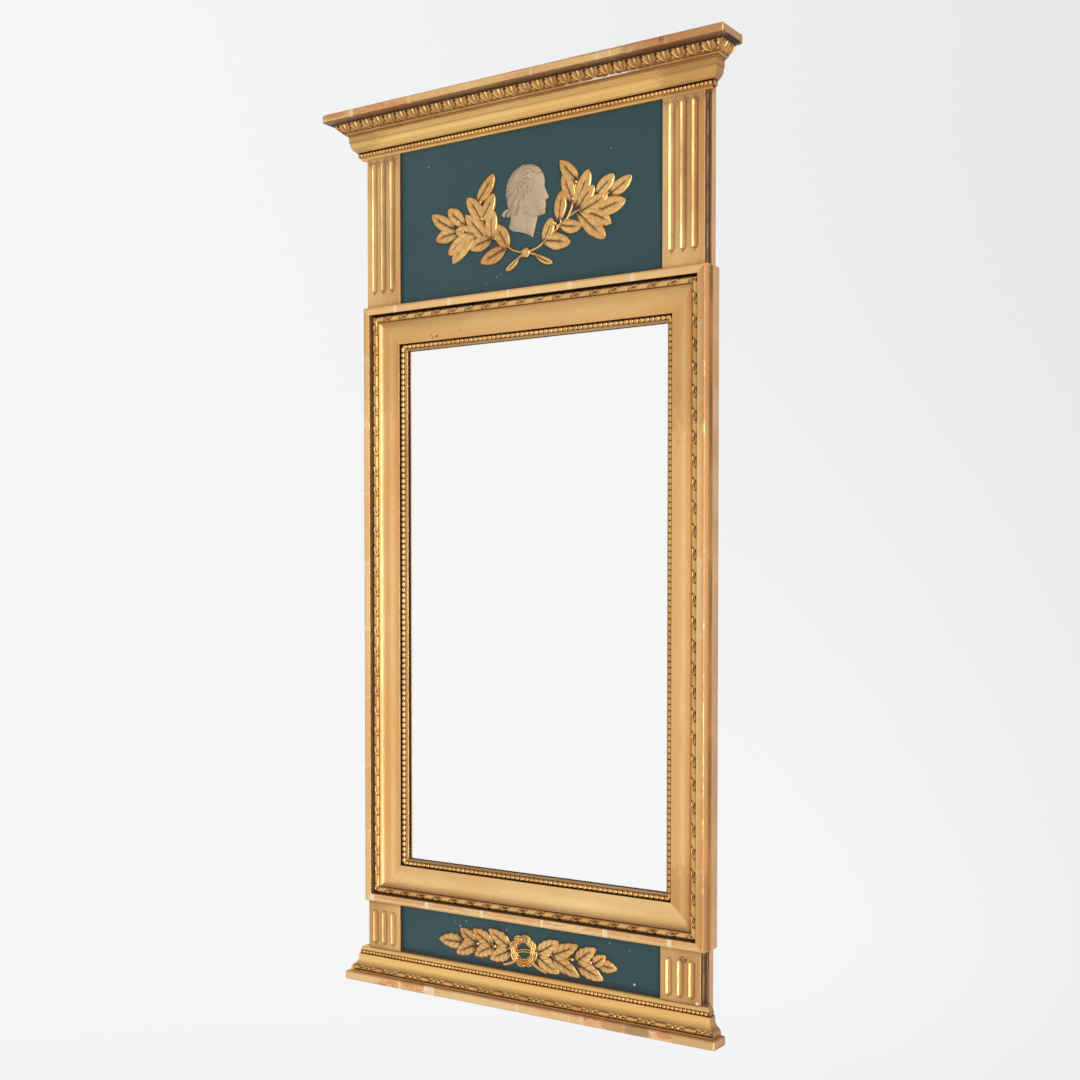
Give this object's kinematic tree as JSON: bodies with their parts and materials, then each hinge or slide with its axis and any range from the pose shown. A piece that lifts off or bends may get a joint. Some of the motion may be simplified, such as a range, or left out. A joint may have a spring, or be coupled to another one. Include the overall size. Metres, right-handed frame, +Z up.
{
  "type": "mirror",
  "caption": "Tall gilt wall mirror with a cornice, a painted frieze with a relief head between laurel branches, a carved frame and a plinth.",
  "frame": {"origin": "half way between the round holes of the two keyhole hangers, on the wall plane", "axes": "+X to the viewer's right, +Y into the wall, +Z up; the glass faces -Y"},
  "size_m": [0.5108, 0.0567, 1.0002],
  "materials": {
    "gilded_wood": "water gilding over red bole, worn and toned",
    "gilded_composition": "water gilding on pressed composition, toned in the hollows",
    "pine": "aged pine, unfinished at the back",
    "mirror_glass": "silvered sheet glass",
    "backboard": "thin aged pine board",
    "painted_panel": "matt blue-green paint",
    "plaster": "toned cast relief, satin",
    "steel": "dull and oxidised"
  },
  "bodies": {
    "root": {"frame_stile_left": "pine", "frame_stile_right": "pine", "frame_rail_top": "pine", "frame_rail_bottom": "pine", "moulding_left": "gilded_wood", "moulding_right": "gilded_wood", "moulding_top": "gilded_wood", "moulding_bottom": "gilded_wood", "ribbon_left": "gilded_composition", "ribbon_right": "gilded_composition", "ribbon_top": "gilded_composition", "ribbon_bottom": "gilded_composition", "slip_left": "gilded_wood", "slip_right": "gilded_wood", "slip_top": "gilded_wood", "slip_bottom": "gilded_wood", "pearls_left": "gilded_composition", "pearls_right": "gilded_composition", "pearls_top": "gilded_composition", "pearls_bottom": "gilded_composition", "mirror_glass": "mirror_glass", "glass_backboard": "backboard", "backboard_nails": "steel", "frieze_board": "pine", "frieze_panel": "painted_panel", "pilaster_left": "gilded_wood", "pilaster_right": "gilded_wood", "plinth_board": "pine", "plinth_panel": "painted_panel", "block_left": "gilded_wood", "block_right": "gilded_wood", "cornice_core": "pine", "cornice_front": "gilded_wood", "cornice_return_left": "gilded_wood", "cornice_return_right": "gilded_wood", "cornice_pearls": "gilded_composition", "leaf_front": "gilded_composition", "leaf_return_left": "gilded_composition", "leaf_return_right": "gilded_composition", "cap_board": "gilded_wood", "base_core": "pine", "base_front": "gilded_wood", "base_return_left": "gilded_wood", "base_return_right": "gilded_wood", "base_pearls": "gilded_composition", "bead_and_reel": "gilded_composition", "base_slab": "gilded_wood", "relief_head": "plaster", "branch_left": "gilded_composition", "branch_right": "gilded_composition", "branch_knot": "gilded_composition", "wreath": "gilded_composition", "spray_left": "gilded_composition", "spray_right": "gilded_composition", "batten_left": "pine", "batten_right": "pine", "hanger_left": "steel", "hanger_right": "steel", "wood_screws": "steel"}
  },
  "joints": []
}
